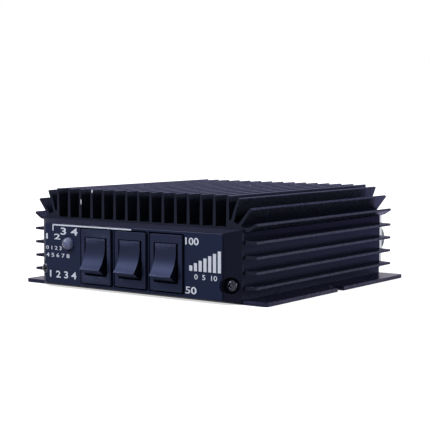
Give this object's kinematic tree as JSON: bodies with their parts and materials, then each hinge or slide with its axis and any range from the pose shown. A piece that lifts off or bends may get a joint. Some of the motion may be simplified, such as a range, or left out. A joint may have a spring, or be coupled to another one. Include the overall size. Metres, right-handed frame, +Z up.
{
  "type": "hf linear amplifier",
  "caption": "Compact finned radio amplifier on a flanged base plate, with rocker switches and a lamp in front, coaxial sockets and a lead grommet behind, and its circuit inside.",
  "frame": {"origin": "centre of the base plate's underside, which rests on the bench", "axes": "+X towards the right of the front panel, +Y towards the rear sockets, +Z up"},
  "size_m": [0.1186, 0.1287, 0.0389],
  "materials": {
    "black_anodised": "black anodised extrusion, satin, with a faint violet cast and fine die lines",
    "black_coated": "satin black coat on sheet metal",
    "cap_plastic": "dark blue-black moulded plastic, satin",
    "label_film": "blue-black printed film, satin, with white marks",
    "switch_plastic": "blue-black moulded plastic, semi-gloss",
    "bare_aluminium": "brushed sheet",
    "black_steel": "black oxide, semi-gloss",
    "zinc_steel": "bright zinc plate",
    "nickel": "satin nickel plate",
    "brass": "bare spring brass",
    "copper": "tinned or bare copper",
    "lamp_resin": "frosted grey resin, unlit",
    "socket_insulator": "off-white insulator",
    "grommet_rubber": "matt black rubber",
    "board_laminate": "green glass-fibre laminate",
    "ferrite": "matt dark grey ferrite",
    "black_epoxy": "matt moulded epoxy",
    "relay_case": "blue moulded plastic",
    "can_sleeve": "dark blue shrunk sleeve",
    "silicone_pad": "matt grey silicone"
  },
  "bodies": {
    "case": {"heatsink": "black_anodised", "base_plate": "black_coated", "front_cap": "cap_plastic", "front_label": "label_film", "rear_panel": "bare_aluminium", "front_screw_left": "black_steel", "front_screw_right": "black_steel", "rear_screw_left": "zinc_steel", "rear_screw_right": "zinc_steel", "base_screw_front_left": "black_steel", "base_screw_front_right": "black_steel", "base_screw_rear_left": "black_steel", "base_screw_rear_right": "black_steel", "left_switch_housing": "switch_plastic", "left_switch_common_terminal": "brass", "left_switch_load_terminal": "brass", "left_switch_wire": "copper", "middle_switch_housing": "switch_plastic", "middle_switch_common_terminal": "brass", "middle_switch_load_terminal": "brass", "middle_switch_wire": "copper", "right_switch_housing": "switch_plastic", "right_switch_common_terminal": "brass", "right_switch_load_terminal": "brass", "right_switch_wire": "copper", "switch_bus_wire": "copper", "lamp_lens": "lamp_resin", "lamp_clip": "cap_plastic", "antenna_socket_shell": "nickel", "antenna_socket_insulator": "socket_insulator", "antenna_socket_contact": "brass", "antenna_socket_nut": "nickel", "antenna_wire": "copper", "radio_socket_shell": "nickel", "radio_socket_insulator": "socket_insulator", "radio_socket_contact": "brass", "radio_socket_nut": "nickel", "radio_wire": "copper", "power_lead_grommet": "grommet_rubber", "circuit_board": "board_laminate", "antenna_relay": "relay_case", "radio_relay": "relay_case", "output_transformer_core": "ferrite", "output_transformer_winding": "copper", "input_transformer_core": "ferrite", "supply_choke": "ferrite", "supply_capacitor": "can_sleeve", "preamp_transistor": "nickel", "left_power_transistor": "black_epoxy", "left_transistor_pad": "silicone_pad", "left_transistor_screw": "zinc_steel", "right_power_transistor": "black_epoxy", "right_transistor_pad": "silicone_pad", "right_transistor_screw": "zinc_steel"},
    "left_rocker": {"left_switch_rocker": "switch_plastic"},
    "left_lever": {"left_switch_contact_lever": "brass"},
    "middle_rocker": {"middle_switch_rocker": "switch_plastic"},
    "middle_lever": {"middle_switch_contact_lever": "brass"},
    "right_rocker": {"right_switch_rocker": "switch_plastic"},
    "right_lever": {"right_switch_contact_lever": "brass"}
  },
  "joints": [
    {"name": "left_rocker_tilt", "type": "hinge", "parent": "case", "child": "left_rocker", "pos_m": [-0.016, -0.0553, 0.01355], "axis": [1, 0, 0], "range_deg": [0, 34]},
    {"name": "left_lever_tilt", "type": "hinge", "parent": "case", "child": "left_lever", "pos_m": [-0.016, -0.04825, 0.01355], "axis": [1, 0, 0], "range_deg": [-16, 0]},
    {"name": "middle_rocker_tilt", "type": "hinge", "parent": "case", "child": "middle_rocker", "pos_m": [0.0012, -0.0553, 0.01355], "axis": [1, 0, 0], "range_deg": [0, 34]},
    {"name": "middle_lever_tilt", "type": "hinge", "parent": "case", "child": "middle_lever", "pos_m": [0.0012, -0.04825, 0.01355], "axis": [1, 0, 0], "range_deg": [-16, 0]},
    {"name": "right_rocker_tilt", "type": "hinge", "parent": "case", "child": "right_rocker", "pos_m": [0.0184, -0.0553, 0.01355], "axis": [1, 0, 0], "range_deg": [0, 34]},
    {"name": "right_lever_tilt", "type": "hinge", "parent": "case", "child": "right_lever", "pos_m": [0.0184, -0.04825, 0.01355], "axis": [1, 0, 0], "range_deg": [-16, 0]}
  ],
  "couplings": [
    {"joint": "left_lever_tilt", "follows": "left_rocker_tilt", "ratio": -0.47059},
    {"joint": "middle_lever_tilt", "follows": "middle_rocker_tilt", "ratio": -0.47059},
    {"joint": "right_lever_tilt", "follows": "right_rocker_tilt", "ratio": -0.47059}
  ]
}
